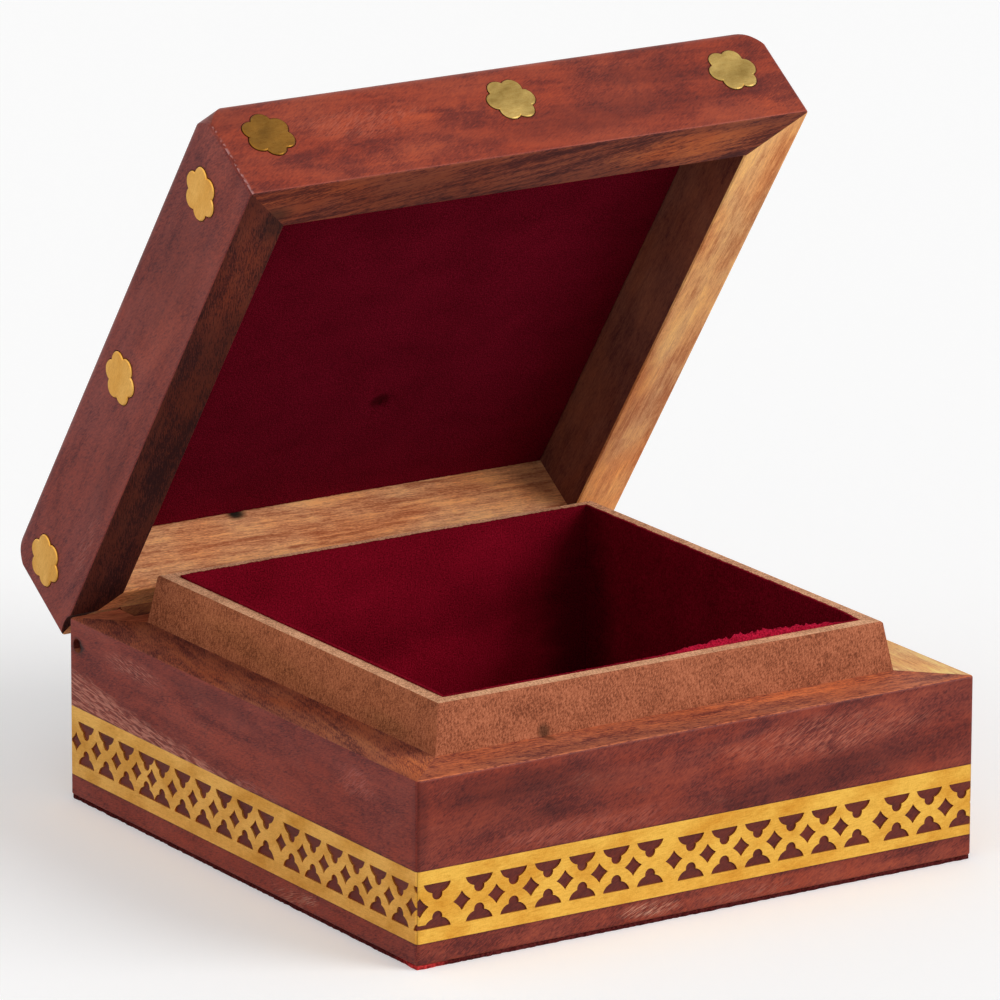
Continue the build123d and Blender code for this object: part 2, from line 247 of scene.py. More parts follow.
def rosewood(name, tone, side, on_lid, lean=(2, 0), fibre_lean=(20, 0), seed=0, figure=1.0,
             vein=1.0, fibre=1.0, gloss=0.42, marks=(), shade=DARKER):
    """Indian rosewood, sawn, sanded and wiped with oil: broad warm and dark figure, thin veins,
    short fine fibres, open pores that stay dark, and a soft sheen."""
    look = bpy.context.scene.box_wood
    made, tree, surface, at = new_material(name, side, on_lid)
    broad = streaks(tree, at, look.figure_length / MM, look.figure_width / MM, lean, seed, 3, 1.0)
    cloud = streaks(tree, at, 6, 3.4, fibre_lean, seed + 2, 4, 0.6)
    line = streaks(tree, at, 18, 0.9, lean, seed + 3, 3, 0.5)
    hair = streaks(tree, at, look.fibre_length / MM, look.fibre_width / MM, fibre_lean, seed + 5, 2)
    grit = streaks(tree, at, 0.7, 0.2, fibre_lean, seed + 6, 2)
    pore = streaks(tree, at, 1.8, 0.17, fibre_lean, seed + 8, 1)
    warmth = streaks(tree, at, 26, 12, lean, seed + 11, 2, 0.8)
    value = weigh(tree, (broad, 0.85 * figure), (cloud, 0.5 * figure), (line, 0.35 * vein),
                  (hair, 0.9 * fibre), (grit, 0.75 * fibre), start=0.5)
    colour = add(tree, "ValToRGB", {"Fac": value, "stops": (
        (0.08, shaded(tone, *(part * part for part in shade))), (0.30, shaded(tone, *shade)),
        (0.5, shaded(tone, 1)), (0.78, shaded(tone, *LIGHTER)),
    )})
    warm = add(tree, "MapRange", {"Value": warmth, "From Min": 0.35, "From Max": 0.65})
    colour = add(tree, "MixRGB", {
        "blend_type": "MULTIPLY", "Fac": warm, "Color1": colour, "Color2": (1.0, 0.80, 0.66, 1),
    })
    open_pore = add(tree, "MapRange", {
        "Value": pore, "From Min": 0.62, "From Max": 0.74, "To Max": 0.32 * fibre,
    })
    colour = add(tree, "MixRGB", {
        "Fac": open_pore, "Color1": colour, "Color2": shaded(tone, 0.3, 0.22, 0.24),
    })
    colour = marked(tree, at, colour, marks, hair)
    rough = add(tree, "MapRange", {
        "Value": broad, "From Min": 0.3, "From Max": 0.7, "To Min": gloss + 0.10, "To Max": gloss,
    })
    height = add(tree, "Math", {"operation": "SUBTRACT", 0: hair, 1: open_pore})
    fill(tree, surface, {
        "Base Color": colour, "Roughness": rough, "Specular IOR Level": 0.2, "Normal": add(
            tree, "Bump", {"Height": height, "Strength": 0.3, "Distance": 0.03 * MM}),
    })
    return made


def fibreboard(name, tone, side="front", seed=2, marks=()):
    """Raw medium density fibreboard: matted brown fibres that stand up at the sawn edge, with
    a few dark ones and pale dust among them."""
    made, tree, surface, at = new_material(name, side)
    cloud = streaks(tree, at, 8, 5, (10, 0), seed, 4)
    upright = streaks(tree, at, 0.28, 0.9, (8, 0), seed + 2, 3)
    strand = streaks(tree, at, 1.1, 0.22, (35, 20), seed + 4, 3)
    chip = streaks(tree, at, 0.22, 1.3, (-12, 0), seed + 7, 1)
    value = weigh(tree, (cloud, 0.6), (upright, 1.1), (strand, 1.3), start=0.5)
    colour = add(tree, "ValToRGB", {"Fac": value, "stops": (
        (0.22, shaded(tone, 0.50, 0.44, 0.42)), (0.5, shaded(tone, 1)),
        (0.80, shaded(tone, 1.40, 1.55, 1.65)),
    )})
    dark = add(tree, "MapRange", {
        "Value": chip, "From Min": 0.66, "From Max": 0.78, "To Max": 0.6,
    })
    colour = add(tree, "MixRGB", {
        "Fac": dark, "Color1": colour, "Color2": shaded(tone, 0.25, 0.2, 0.2),
    })
    fill(tree, surface, {
        "Base Color": marked(tree, at, colour, marks, strand), "Roughness": 0.9,
        "Specular IOR Level": 0.15, "Normal": add(
            tree, "Bump", {"Height": upright, "Strength": 0.5, "Distance": 0.08 * MM}),
    })
    return made


def velvet(name, tone, pile_mm=0.3, sheen=0.25, on_lid=False, marks=()):
    """Cotton velvet: an upright pile that is dark seen from above and glows seen from the side,
    with a nap that lies a little differently from place to place. Its tufts are drawn coarser
    than they are, because they are too fine to show."""
    made, tree, surface, at = new_material(name, "front", on_lid)
    pile = streaks(tree, at, pile_mm, pile_mm, (0, 0), 1, 2)
    nap = streaks(tree, at, 14, 9, (0, 0), 3, 3)
    weave = streaks(tree, at, 3, 0.5, (90, 90), 5, 1)
    value = weigh(tree, (nap, 0.3), (pile, 1.2), (weave, 0.15), start=0.5)
    colour = add(tree, "ValToRGB", {"Fac": value, "stops": (
        (0.26, shaded(tone, 0.45, 0.35, 0.4)), (0.5, shaded(tone, 1)),
        (0.76, shaded(tone, 1.6, 2.0, 1.9)),
    )})
    fill(tree, surface, {
        "Base Color": marked(tree, at, colour, marks, pile), "Roughness": 1.0,
        "Specular IOR Level": 0.02, "Sheen Weight": sheen, "Sheen Roughness": 0.5,
        "Sheen Tint": shaded(tone, 1.8, 2.0, 2.0), "Normal": add(
            tree, "Bump", {"Height": pile, "Strength": 0.6, "Distance": 0.2 * MM}),
    })
    return made


def sheet_brass(name, tone, tarnish, dull=0.3, polish=0.34, side="front", on_lid=False,
                marks=(), drift_mm=12, change=2.8):
    """Rolled sheet brass, rubbed flush with the wood: scratches that cross, drawn wider than
    they are so that they show, a soft change from yellow to orange, and brown tarnish left
    where the cloth doesn't reach."""
    made, tree, surface, at = new_material(name, side, on_lid)
    along = streaks(tree, at, 4, 0.14, (4, 4), 1, 2)
    across = streaks(tree, at, 2.5, 0.12, (58, 40), 5, 2)
    drift = streaks(tree, at, drift_mm, drift_mm / 2, (20, 0), 8, 2)
    fleck = streaks(tree, at, 1.2, 0.8, (20, 0), 12, 3)
    shift = weigh(tree, (drift, change), (fleck, 0.3 * change), start=dull)
    colour = add(tree, "MixRGB", {
        "Fac": shift, "Color1": shaded(tone, 1), "Color2": shaded(tarnish, 1),
    })
    scratch = weigh(tree, (along, 0.5), (across, 0.5), start=0.5)
    worn = add(tree, "ValToRGB", {"Fac": scratch, "stops": ((0.34, "#EADCC4"), (0.58, "#FFFFFF"))})
    colour = add(tree, "MixRGB", {
        "blend_type": "MULTIPLY", "Fac": 1.0, "Color1": colour, "Color2": worn,
    })
    rough = add(tree, "MapRange", {
        "Value": scratch, "From Min": 0.3, "From Max": 0.7, "To Min": polish,
        "To Max": polish + 0.14,
    })
    fill(tree, surface, {
        "Base Color": marked(tree, at, colour, marks, fleck), "Roughness": rough,
        "Metallic": 1.0, "Normal": add(
            tree, "Bump", {"Height": scratch, "Strength": 0.3, "Distance": 0.012 * MM}),
    })
    return made


def drawn_steel(name):
    """Drawn iron wire of a headless nail, dark with age and rust at its cut end."""
    made, tree, surface, at = new_material(name)
    rust = add(tree, "MapRange", {
        "Value": streaks(tree, at, 0.8, 0.4, (0, 0), 2, 3), "From Min": 0.45, "From Max": 0.62,
    })
    colour = add(tree, "ValToRGB", {"Fac": rust, "stops": ((0.0, "#6E6A66"), (1.0, "#4A2A1C"))})
    shine = add(tree, "MapRange", {"Value": rust, "To Min": 1.0, "To Max": 0.1})
    fill(tree, surface, {"Base Color": colour, "Metallic": shine, "Roughness": 0.5})
    return made


def cast_resin(name):
    """Dark polyester resin, poured between the stones and ground flat to a satin, with brass
    filings and stone dust in it."""
    made, tree, surface, at = new_material(name, "front", True)
    cell = add(tree, "TexVoronoi", {"Vector": at, "Scale": 1.6})
    dust = add(tree, "MapRange", {
        "Value": cell.outputs["Distance"], "From Min": 0.12, "From Max": 0.20,
        "To Min": 1.0, "To Max": 0.0,
    })
    grit = add(tree, "ValToRGB", {"Fac": add(tree, "SeparateColor", {
        "Color": cell.outputs["Color"]}).outputs[0], "stops": (
            (0.3, "#16120F"), (0.6, "#8A6A2C"), (0.85, "#C9C2B2"))})
    colour = add(tree, "MixRGB", {"Fac": dust, "Color1": (*linear("#14110F"), 1), "Color2": grit})
    haze = streaks(tree, at, 9, 6, (0, 0), 4, 4)
    rough = add(tree, "MapRange", {"Value": haze, "To Min": 0.36, "To Max": 0.56})
    fill(tree, surface, {"Base Color": colour, "Roughness": rough, "Specular IOR Level": 0.3})
    return made


def stone_base(kind):
    """An empty material for a stone ground flush and rubbed to a satin, a little uneven as it is
    by hand, with the lid's place in millimetres."""
    made, tree, surface, at = new_material(f"{kind}_satin_polished", "front", True)
    tone = getattr(bpy.context.scene.box_stones, kind)
    rub = streaks(tree, at, 6, 3, (35, 35), 7, 3)
    rough = add(tree, "MapRange", {"Value": rub, "To Min": 0.34, "To Max": 0.52})
    fill(tree, surface, {"Roughness": rough, "Specular IOR Level": 0.3})
    return made, tree, surface, at, tone


def turquoise():
    """Turquoise: waxy blue green with a brown net of the rock it grew in."""
    made, tree, surface, at, tone = stone_base("turquoise")
    cloud = streaks(tree, at, 5, 4, (20, 20), 2, 5)
    body = add(tree, "ValToRGB", {"Fac": cloud, "stops": (
        (0.35, shaded(tone, 0.55, 0.75, 0.70)), (0.5, shaded(tone, 1)),
        (0.65, shaded(tone, 1.7, 1.3, 1.35)),
    )})
    warp = add(tree, "MixRGB", {"Fac": 0.35, "Color1": at, "Color2": add(
        tree, "TexNoise", {"Vector": at, "Scale": 0.5}).outputs["Color"]})
    net = add(tree, "TexVoronoi", {
        "feature": "DISTANCE_TO_EDGE", "Vector": warp, "Scale": 0.55,
    })
    vein = add(tree, "MapRange", {
        "Value": net, "From Min": 0.02, "From Max": 0.07, "To Min": 0.85, "To Max": 0.0,
    })
    colour = add(tree, "MixRGB", {"Fac": vein, "Color1": body, "Color2": (*linear("#3C2A1C"), 1)})
    fill(tree, surface, {"Base Color": colour})
    return made


def lapis():
    """Lapis lazuli: deep blue with white calcite clouds and flecks of pyrite."""
    made, tree, surface, at, tone = stone_base("lapis")
    cloud = streaks(tree, at, 4, 3, (10, 50), 3, 6, 0.8)
    body = add(tree, "ValToRGB", {"Fac": cloud, "stops": (
        (0.35, shaded(tone, 0.5)), (0.55, shaded(tone, 1.3)), (0.68, "#6C7CB0"), (0.78, "#C8CAD2"),
    )})
    fleck = add(tree, "MapRange", {
        "Value": add(tree, "TexVoronoi", {"Vector": at, "Scale": 1.1}),
        "From Min": 0.10, "From Max": 0.15, "To Min": 1.0, "To Max": 0.0,
    })
    colour = add(tree, "MixRGB", {"Fac": fleck, "Color1": body, "Color2": (*linear("#C9A246"), 1)})
    fill(tree, surface, {"Base Color": colour, "Metallic": fleck})
    return made


def carnelian():
    """Carnelian: orange red and half clear, with soft lighter bands."""
    made, tree, surface, at, tone = stone_base("carnelian")
    bands = add(tree, "TexWave", {
        "Vector": at, "Scale": 0.28, "Distortion": 7.0, "Detail": 3.0, "Detail Scale": 0.4,
    })
    colour = add(tree, "ValToRGB", {"Fac": bands, "stops": (
        (0.1, shaded(tone, 0.5, 0.4, 0.4)), (0.55, shaded(tone, 1)),
        (0.95, shaded(tone, 1.5, 2.2, 2.4)),
    )})
    fill(tree, surface, {
        "Base Color": colour, "Subsurface Weight": 0.15, "Subsurface Scale": 1.0 * MM,
    })
    return made


def malachite():
    """Malachite: rings of dark and pale green, silky where they are close."""
    made, tree, surface, at, tone = stone_base("malachite")
    rings = add(tree, "TexWave", {
        "wave_type": "RINGS", "Vector": at, "Scale": 0.30, "Distortion": 9.0, "Detail": 2.0,
        "Detail Scale": 0.25,
    })
    colour = add(tree, "ValToRGB", {"Fac": rings, "stops": (
        (0.05, shaded(tone, 0.25, 0.4, 0.4)), (0.45, shaded(tone, 1)),
        (0.6, shaded(tone, 0.5, 0.6, 0.6)), (0.9, shaded(tone, 4.0, 2.0, 2.2)),
    )})
    fill(tree, surface, {"Base Color": colour})
    return made


def tiger_eye():
    """Tiger's eye: straight gold and brown fibres with a silky gleam across them."""
    made, tree, surface, at, tone = stone_base("tiger_eye")
    band = streaks(tree, at, 22, 0.9, (0, 62), 2, 4, 0.4)
    colour = add(tree, "ValToRGB", {"Fac": band, "stops": (
        (0.36, shaded(tone, 0.18, 0.14, 0.12)), (0.48, shaded(tone, 0.8)),
        (0.56, shaded(tone, 1.8, 1.9, 1.7)), (0.66, shaded(tone, 0.5, 0.4, 0.35)),
    )})
    fill(tree, surface, {"Base Color": colour, "Anisotropic": 0.6})
    return made


def mother_of_pearl():
    """Mother of pearl: pale shell whose layers shift from pink to green."""
    made, tree, surface, at, tone = stone_base("mother_of_pearl")
    layer = streaks(tree, at, 9, 2.5, (0, 25), 5, 4, 1.2)
    colour = add(tree, "ValToRGB", {"Fac": layer, "stops": (
        (0.34, shaded(tone, 0.70, 0.86, 0.84)), (0.46, shaded(tone, 1)),
        (0.56, shaded(tone, 1.0, 0.84, 0.86)), (0.68, shaded(tone, 0.86, 0.95, 1.05)),
    )})
    fill(tree, surface, {"Base Color": colour, "Thin Film Thickness": 380.0})
    return made


STONE_MAKERS = {
    "turquoise": turquoise, "lapis": lapis, "carnelian": carnelian, "malachite": malachite,
    "tiger_eye": tiger_eye, "mother_of_pearl": mother_of_pearl,
}


# Pieces

def paint(node, materials, choose=None, side="front", on_lid=False):
    """Gives a CAD piece its materials. choose picks one by a face's normal and centre, both
    turned to the front of the shut box."""
    mesh = frame["nodes"][node].data
    mesh.materials.clear()
    for material in materials:
        mesh.materials.append(material)
    turn = to_front(side, on_lid)
    for face in mesh.polygons:
        face.material_index = choose(turn.to_3x3() @ face.normal, turn @ face.center) if choose else 0


def named(name):
    """Names the primitive that was just added."""
    made = bpy.context.object
    made.name = name
    made.data.name = name
    return made


def apply_modifiers(piece):
    """Applies the piece's modifiers in order."""
    for modifier in list(piece.modifiers):
        bpy.ops.object.modifier_apply(modifier=modifier.name)


def cloth_panel(name, size, centre, rotation, cells, thickness, wave, ragged, seed):
    """A sheet of pile cloth: a grid whose edge is cut by hand, given waves and a thickness. It is
    thinner than the solid that it stands for, so that its waves stay inside that."""
    bpy.ops.object.select_all(action="DESELECT")
    bpy.ops.mesh.primitive_grid_add(
        x_subdivisions=cells[0], y_subdivisions=cells[1], size=1, location=centre,
        rotation=rotation,
    )
    piece = named(name)
    piece.scale = (*size, 1)
    draw = random.Random(seed)
    edge = 0.5 - 1e-5
    for vertex in piece.data.vertices:
        for axis in (0, 1):
            if abs(vertex.co[axis]) > edge:
                vertex.co[axis] += draw.uniform(-ragged, ragged) / size[axis]
    bpy.ops.object.transform_apply(location=True, rotation=True, scale=True)
    texture = bpy.data.textures.new(name, "CLOUDS")
    texture.noise_scale = WAVE_LENGTH
    ripple = piece.modifiers.new("ripple", "DISPLACE")
    ripple.texture = texture
    ripple.texture_coords = "GLOBAL"
    ripple.strength = wave
    body = piece.modifiers.new("thickness", "SOLIDIFY")
    body.thickness = thickness
    body.offset = 0
    apply_modifiers(piece)
    bpy.ops.object.shade_smooth_by_angle(angle=math.radians(50))
    return piece


def swing_open(piece):
    """Turns a piece that was made on the shut lid to the open lid."""
    piece.matrix_world = to_front("front", True).inverted() @ piece.matrix_world
    bpy.ops.object.transform_apply(location=True, rotation=True, scale=True)


# Settings

def tone_property(name, description, code):
    """A colour setting with its default."""
    return bpy.props.FloatVectorProperty(
        name=name, description=description, subtype="COLOR", default=linear(code), min=0, max=1)


def length_property(name, description, length_mm):
    """A length setting with its default in millimetres."""
    return bpy.props.FloatProperty(
        name=name, description=description, default=length_mm * MM, min=0, unit="LENGTH")


def number_property(name, description, number, least=0):
    """A setting that is a plain number, with its default."""
    return bpy.props.FloatProperty(name=name, description=description, default=number, min=least)


class BoxWoodLook(bpy.types.PropertyGroup):
    """Colours and grain of the wood and the fibreboard."""
    lid_front: tone_property("Lid front", "Oiled heartwood of the lid's front", "#8A3825")
    lid_sides: tone_property("Lid sides", "Oiled heartwood of the lid's other sides", "#7E352F")
    case_front: tone_property("Case front", "Oiled heartwood of the case's front", "#773126")
    case_sides: tone_property("Case sides", "Oiled heartwood of the case's other sides", "#7F3229")
    dark_rim: tone_property("Dark rim", "Heartwood of the lid's front rim", "#703525")
    darkest_rim: tone_property("Darkest rim", "Heartwood of the lid's left rim", "#471D16")
    inside: tone_property("Inside", "Heartwood inside the lid", "#7A4636")
    hinge: tone_property("Hinge rail", "Wood of the hinge rail", "#744830")
    case_rim: tone_property("Case rim", "Rim of the case's front", "#AC6045")
    left_rim: tone_property("Left rim", "Rim of the case's left side", "#8C4C38")
    sapwood: tone_property("Sapwood", "Pale wood of the right rims", "#DFA56E")
    pale_rim: tone_property("Pale rim", "Sapwood rim of the case's right side", "#F0C48A")
    raw: tone_property("Raw wood", "Unoiled wood inside the back rail", "#DC9E72")
    fibreboard: tone_property("Fibreboard", "Liner boards", "#A05C3F")
    # The edge's pale tone is sanded fibre with a painted sheen
    sawn_edge_and_sheen: tone_property("Sanded edge", "Sanded upper edge of the liner boards", "#E0A47C")
    figure_length: length_property("Figure length", "Broad figure along a plank", 28.0)
    figure_width: length_property("Figure width", "Broad figure across a plank", 8.0)
    fibre_length: length_property("Fibre length", "Length of the short fibres", 2.0)
    fibre_width: length_property("Fibre width", "Width of the short fibres", 0.22)


class BoxBrassLook(bpy.types.PropertyGroup):
    """Colours of the brass."""
    strip: tone_property("Strip", "Pierced strip round the case", "#F8C65A")
    # The sides' tone is painted lighter than the front's, standing in for the reflected light that
    # the sides lack
    side_strip: tone_property("Side strip", "The strip's duller sides", "#FFC868")
    rosette: tone_property("Rosette", "Rosettes in the lid's front", "#CCAE68")
    side_rosette: tone_property("Side rosette", "Rosettes in the lid's sides", "#F4C066")
    tarnish: tone_property("Tarnish", "Where the brass has dulled", "#E2A23C")
    front_tarnish: tone_property("Front tarnish", "Dulled front rosettes", "#7E642C")
    old_rosette: tone_property("Old rosette", "The most tarnished rosette", "#94692A")


class BoxClothLook(bpy.types.PropertyGroup):
    """Colours and sizes of the velvet and the felt."""
    velvet: tone_property("Velvet", "Velvet of the case", "#74081A")
    lid_velvet: tone_property("Lid velvet", "Velvet of the lid", "#5E0818")
    # The felt's tone is darkened as painted shade, for the felt under the case
    felt: tone_property("Felt", "Felt under the case", "#4C1A1A")
    ripple: length_property("Ripple", "Height of the velvet's waves", 0.08)
    ragged: length_property("Cut edge", "How far the cut edges stray", 0.08)


class BoxStoneLook(bpy.types.PropertyGroup):
    """Colours of the stones in the lid's top."""
    turquoise: tone_property("Turquoise", "Body of the turquoise", "#3FA39C")
    lapis: tone_property("Lapis", "Body of the lapis lazuli", "#20388C")
    carnelian: tone_property("Carnelian", "Body of the carnelian", "#B2431C")
    malachite: tone_property("Malachite", "Body of the malachite", "#1C7A50")
    tiger_eye: tone_property("Tiger's eye", "Body of the tiger's eye", "#A26A22")
    mother_of_pearl: tone_property("Mother of pearl", "Body of the shell", "#E6E2DA")


class BoxStudioLook(bpy.types.PropertyGroup):
    """Floor, lamps and camera."""
    floor: tone_property("Floor", "Paper under the box", "#F4F4F4")
    floor_lift: number_property(
        "Floor lift", "How much lighter the paper looks to the camera", 0.20)
    key_power: number_property("Key light", "Main light, in watts a square metre", 1.95)
    fill_power: number_property("Fill light", "Second light, in watts a square metre", 0.5)
    ambient: number_property("Ambient", "Light from all round", 0.5)
    focal_length: number_property(
        "Focal length", "Camera lens, in millimetres on a 36 mm frame", 333.97, 1)


SETTINGS = {
    "box_wood": BoxWoodLook, "box_brass": BoxBrassLook, "box_cloth": BoxClothLook,
    "box_stones": BoxStoneLook, "box_studio": BoxStudioLook,
}


# Case

def case_face(normal, centre):
    """0 the oiled outside, 1 the rim, 2 what is hidden or cut for the hinge."""
    if normal.z > LOOKS_THERE:
        return 1
    return 0 if centre.y < CASE_FRONT + OILED_DEPTH and normal.z > -LOOKS_THERE else 2


def strip_glue(tree, at, hair):
    """Dark wood and glue in the strip's holes and in a thin line along its edges."""
    low, high = (corner.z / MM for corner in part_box("brass_band_front"))
    half = (high - low) / 2
    height = add(tree, "SeparateXYZ", {"Vector": at}).outputs["Z"]
    above = add(tree, "Math", {"operation": "SUBTRACT", 0: height, 1: low + half})
    away = add(tree, "Math", {"operation": "ABSOLUTE", 0: above})
    stray = add(tree, "Math", {"operation": "MULTIPLY_ADD", 0: hair, 1: 0.6, 2: away})
    yield add(tree, "MapRange", {
        "Value": stray, "From Min": half + 0.35, "From Max": half + 0.7, "To Min": 0.55,
        "To Max": 0.0,
    }), linear("#3E1412"), "MIX"


def worn_wedge(tree, at, hair):
    """The pale wedge above the left strip, where the oil is rubbed off along the grain. Its
    upper edge falls to the right by its slope and fades out over two millimetres."""
    slope, fade_from, fade_to = 0.1087, 20.6, 22.6
    place = add(tree, "SeparateXYZ", {"Vector": at})
    level = add(tree, "Math", {
        "operation": "MULTIPLY_ADD", 0: place.outputs["X"], 1: slope, 2: place.outputs["Z"],
    })
    uneven = add(tree, "Math", {
        "operation": "MULTIPLY_ADD", 0: streaks(tree, at, 5, 1.4, (-12, 0), 4, 4), 1: 5.0, 2: level,
    })
    wedge = add(tree, "MapRange", {
        "Value": uneven, "From Min": fade_from, "From Max": fade_to, "To Min": 1.0, "To Max": 0.0,
    })
    bare = add(tree, "MapRange", {
        "Value": streaks(tree, at, 3.4, 0.36, (-7, 0), 9, 4, 0.6), "From Min": 0.45,
        "From Max": 0.56, "To Min": 0.06, "To Max": 0.72,
    })
    above = add(tree, "Math", {
        "operation": "GREATER_THAN", 0: place.outputs["Z"],
        1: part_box("brass_band_left")[1].z / MM,
    })
    share = add(tree, "Math", {"operation": "MULTIPLY", 0: wedge, 1: above})
    yield add(tree, "Math", {"operation": "MULTIPLY", 0: share, 1: bare}), linear("#CC8470"), "MIX"


def nail_hole(tree, at, hair):
    """A near black soft oval with an uneven edge round the nail, a little towards the front."""
    centre = (0.4 - PIN.y / MM, 0, PIN.z / MM)
    yield patch(tree, at, centre, (3.4, FAR, 2.5), stray=0.4, grain=0.6), linear("#1C0A08"), "MIX"


# Marks of the outer faces, placed as if each side were the front one, with x along it and z up
CASE_MARKS = {
    "front": (strip_glue, ovals(
        ((30, 0, 23), (48, FAR, 5), 4, 0.75, DEEP),
        ((-42, 0, 32.5), (30, FAR, 5), 0, 0.7, DEEP),
        ((30, 0, 31.5), (38, FAR, 5), 6, 0.6, BRIGHT),
        ((-30, 0, 22), (30, FAR, 3), 0, 0.4, BRIGHT),
        ((-34, 0, 26.5), (6, FAR, 2.5), 0, 0.5, DEEP),
        ((-63, 0, 29), (3.2, FAR, 16), 0, 0.75, DEEP),
        ((-38, 0, 28), (34, FAR, 10), 0, 0.5, (0.68, 0.64, 0.62)),
        ((0, 0, 2.6), (90, FAR, 3.4), 0, 0.45, BRIGHT),
    ), scuffs(
        ((28, 0, 31), (34, FAR, 5.5), 28, 0.5, "#C07058"),
        ((-26, 0, 21.5), (32, FAR, 3.4), 30, 0.4, "#A85E50"),
        ((-11, 0, 3), (9, FAR, 2.4), 24, 0.6, "#D0A088"),
        ((12, 0, 2.4), (16, FAR, 2), 24, 0.3, "#B07868"),
    )),
    "left": (strip_glue, worn_wedge, nail_hole, ovals(
        ((42, 0, 30), (12, FAR, 4), 8, 0.45, BRIGHT),
        ((20, 0, 21), (50, FAR, 2), 0, 0.35, BRIGHT),
        ((-10, 0, 27), (40, FAR, 5), -5, 0.4, BRIGHT),
        ((-12, 0, 34), (30, FAR, 3), -3, 0.4, DEEP),
        ((63, 0, 28), (2, FAR, 16), 0, 0.5, DEEP),
        ((0, 0, 2.6), (90, FAR, 3.4), 0, 0.25, BRIGHT),
    ), scuffs(
        ((-40, 0, 32.4), (14, FAR, 3), -10, 0.75, "#B8705E"),
        ((42, 0, 31), (9, FAR, 4), 36, 0.5, "#B0645A"),
        ((19, 0, 2.6), (9, FAR, 2.6), 22, 0.4, "#C89078"),
        ((26, 0, 3.4), (4, FAR, 1.4), 22, 0.5, "#D8A890"),
        ((5, 0, 20), (14, FAR, 1.6), -6, 0.5, "#A86A60"),
    )),
}


class BOX_OT_case_walls(bpy.types.Operator):
    """Finishes the case's four mitred rosewood walls"""
    bl_idname = "box.case_walls"
    bl_label = "Case walls"

    def execute(self, context):
        look = context.scene.box_wood
        hidden = rosewood("case_sawn_rosewood", look.left_rim, "front", False, seed=40)
        rims = {
            "front": dict(
                tone=look.case_rim, lean=(0, 1), fibre_lean=(0, 5), figure=1.5, fibre=2.2,
                marks=(ovals(
                    ((-28, -53.5, 0), (1.6, 3, FAR), 0, 0.9, (0.42, 0.42, 0.40)),
                    ((-20, -61, 0), (60, 3.6, FAR), 0, 0.6, (0.60, 0.62, 0.80)),
                    ((30, -55, 0), (34, 3.4, FAR), 0, 0.7, (1.45, 1.35, 1.05))),)),
            "left": dict(
                tone=look.left_rim, lean=(0, 10), fibre_lean=(0, 28), figure=1.5, fibre=1.3,
                marks=(ovals(
                    ((57, -57, 0), (12, 9, FAR), 0, 0.9, (1.8, 2.0, 1.6)),
                    ((30, -60, 0), (18, 4, FAR), -4, 0.6, BRIGHT),
                    ((-20, -53, 0), (50, 3, FAR), 0, 0.5, DEEP)),)),
            "right": dict(
                tone=look.pale_rim, lean=(0, 3), fibre_lean=(0, 6), figure=0.7, fibre=0.5,
                shade=RUDDY),
            "back": dict(
                tone=look.case_rim, lean=(0, 3), fibre_lean=(0, 8), figure=0.9, fibre=1.0,
                shade=RUDDY),
        }
        for index, side in enumerate(SIDE_TURN):
            front = side == "front"
            outside = rosewood(
                f"case_{side}_oiled_rosewood", look.case_front if front else look.case_sides,
                side, False, lean=(3, 0) if front else (-3, 0),
                fibre_lean=(32, 10) if front else (16, 8), seed=index,
                figure=1.0 if front else 0.7, fibre=0.9,
                marks=CASE_MARKS.get(side, (strip_glue,)))
            rim = rosewood(f"case_{side}_rim_rosewood", side=side, on_lid=False, seed=index + 20,
                           vein=2.0, gloss=0.65, **rims[side])
            paint(f"base_{side}_wall", (outside, rim, hidden), case_face, side)
        return {"FINISHED"}


def strip_seam(tree, at, fleck):
    """The dark seam where two strips meet at a corner."""
    along = add(tree, "SeparateXYZ", {"Vector": at}).outputs["X"]
    yield add(tree, "MapRange", {
        "Value": add(tree, "Math", {"operation": "ABSOLUTE", 0: along}),
        "From Min": CASE_HALF_MM - 0.4, "From Max": CASE_HALF_MM - 0.15, "To Max": 0.75,
    }), linear("#4A200C"), "MIX"


class BOX_OT_brass_strips(bpy.types.Operator):
    """Finishes the pierced brass strips"""
    bl_idname = "box.brass_strips"
    bl_label = "Brass strips"

    def execute(self, context):
        look = context.scene.box_brass
        for side in SIDE_TURN:
            tone = look.strip if side == "front" else look.side_strip
            brass = sheet_brass(f"strip_{side}_rubbed_brass", tone, look.tarnish, side=side,
                                marks=(strip_seam,))
            paint(f"brass_band_{side}", (brass,))
        return {"FINISHED"}


def sanded_edge_and_sheen(normal, centre):
    """1 a board's upper edge, 0 the rest."""
    return int(normal.z > 0.9)


class BOX_OT_liner_boards(bpy.types.Operator):
    """Finishes the fibreboard liner and the bottom board"""
    bl_idname = "box.liner_boards"
    bl_label = "Liner boards"

    def execute(self, context):
        look = context.scene.box_wood
        smudges = {
            "front": (ovals(((-28, 0, 38), (2, FAR, 2.4), 0, 0.9, (0.30, 0.34, 0.34))),),
            "left": (ovals(
                ((-12, 0, 41), (40, FAR, 4), -4, 0.4, (0.84, 0.90, 0.76)),
                ((0, 0, 42), (90, FAR, 14), 0, 0.8, (1.18, 1.16, 1.0)),
                ((34, 0, 39), (12, FAR, 3), 0, 0.5, (0.70, 0.80, 0.70))),),
        }
        for index, side in enumerate(SIDE_TURN):
            board = fibreboard(f"liner_{side}_raw_fibreboard", look.fibreboard, side,
                               index + 2, smudges.get(side, ()))
            # The upper edge's paler tone is sanded fibre with a painted sheen
            edge = fibreboard(f"liner_{side}_sanded_edge", look.sawn_edge_and_sheen, side, index + 12)
            paint(f"liner_{side}", (board, edge), sanded_edge_and_sheen, side)
        paint("bottom_board", (fibreboard("bottom_raw_fibreboard", look.fibreboard),))
        return {"FINISHED"}


